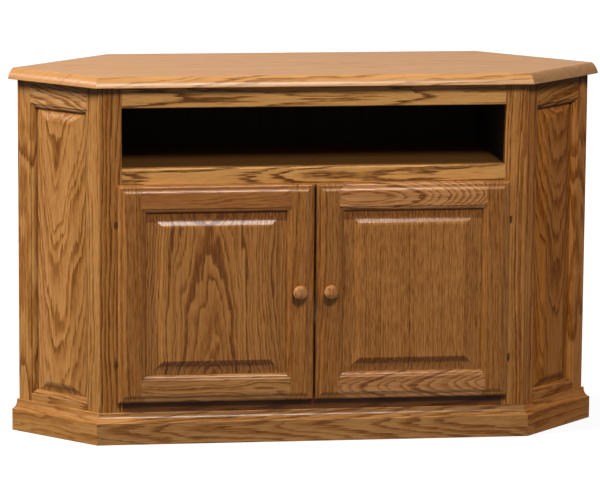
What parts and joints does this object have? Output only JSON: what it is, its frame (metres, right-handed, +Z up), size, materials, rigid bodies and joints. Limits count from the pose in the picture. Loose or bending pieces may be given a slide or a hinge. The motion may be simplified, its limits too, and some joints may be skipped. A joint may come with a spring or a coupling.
{
  "type": "corner tv cabinet",
  "caption": "Corner cabinet in oak with angled panelled wings, a moulded top and base, an open bay for a player and a cupboard with hinged raised-panel doors.",
  "frame": {"origin": "on the floor, under the middle of the cabinet's bounding box", "axes": "+Z up, the doors face -Y, +X to the right of someone facing the doors"},
  "size_m": [1.2194, 0.4106, 0.75],
  "materials": {
    "oak_frame": "golden oak, satin lacquer",
    "oak_door": "red-brown oak, satin lacquer",
    "oak_top": "golden oak, smooth lacquer",
    "oak_knob": "turned oak, satin lacquer",
    "oak_plywood": "oak-faced plywood",
    "back_plywood": "thin plywood",
    "cleat_wood": "bare planed wood",
    "bronzed_hinge": "dark bronze",
    "zinc_steel": "zinc plated",
    "catch_housing": "brown moulded",
    "felt": "felt pad"
  },
  "bodies": {
    "carcass": {"back_panel": "back_plywood", "base_front": "oak_frame", "bay_shelf": "oak_plywood", "cabinet_floor": "oak_plywood", "cleat_screws": "zinc_steel", "door_catches": "catch_housing", "face_bottom_rail": "oak_frame", "face_shelf_rail": "oak_frame", "face_top_rail": "oak_frame", "hinge_frame_screws": "zinc_steel", "hinge_pins": "bronzed_hinge", "left_angled_back": "back_plywood", "left_base_wing": "oak_frame", "left_face_stile": "oak_frame", "left_hinge_frame_leaves": "bronzed_hinge", "left_partition": "oak_plywood", "left_top_cleat": "cleat_wood", "left_wing_bottom_rail": "oak_frame", "left_wing_front_stile": "oak_frame", "left_wing_panel": "oak_frame", "left_wing_rear_stile": "oak_frame", "left_wing_top_rail": "oak_frame", "loose_shelf": "oak_plywood", "rear_cleat": "cleat_wood", "right_angled_back": "back_plywood", "right_base_wing": "oak_frame", "right_face_stile": "oak_frame", "right_hinge_frame_leaves": "bronzed_hinge", "right_partition": "oak_plywood", "right_top_cleat": "cleat_wood", "right_wing_bottom_rail": "oak_frame", "right_wing_front_stile": "oak_frame", "right_wing_panel": "oak_frame", "right_wing_rear_stile": "oak_frame", "right_wing_top_rail": "oak_frame", "shelf_pegs": "zinc_steel", "top_panel": "oak_top"},
    "left_door": {"left_door_bottom_rail": "oak_door", "left_door_bumpers": "felt", "left_door_hinge_stile": "oak_door", "left_door_meeting_stile": "oak_door", "left_door_panel": "oak_door", "left_door_top_rail": "oak_door", "left_hinge_door_leaves": "bronzed_hinge", "left_hinge_door_screws": "zinc_steel", "left_knob": "oak_knob", "left_knob_screw": "zinc_steel", "left_strike_plate": "zinc_steel"},
    "right_door": {"right_door_bottom_rail": "oak_door", "right_door_bumpers": "felt", "right_door_hinge_stile": "oak_door", "right_door_meeting_stile": "oak_door", "right_door_panel": "oak_door", "right_door_top_rail": "oak_door", "right_hinge_door_leaves": "bronzed_hinge", "right_hinge_door_screws": "zinc_steel", "right_knob": "oak_knob", "right_knob_screw": "zinc_steel", "right_strike_plate": "zinc_steel"}
  },
  "joints": [
    {"name": "left_door_hinge", "type": "hinge", "parent": "carcass", "child": "left_door", "pos_m": [-0.4028, -0.1631, 0.308], "axis": [0, 0, -1], "range_deg": [0, 110]},
    {"name": "right_door_hinge", "type": "hinge", "parent": "carcass", "child": "right_door", "pos_m": [0.4028, -0.1631, 0.308], "axis": [0, 0, 1], "range_deg": [0, 110]}
  ]
}
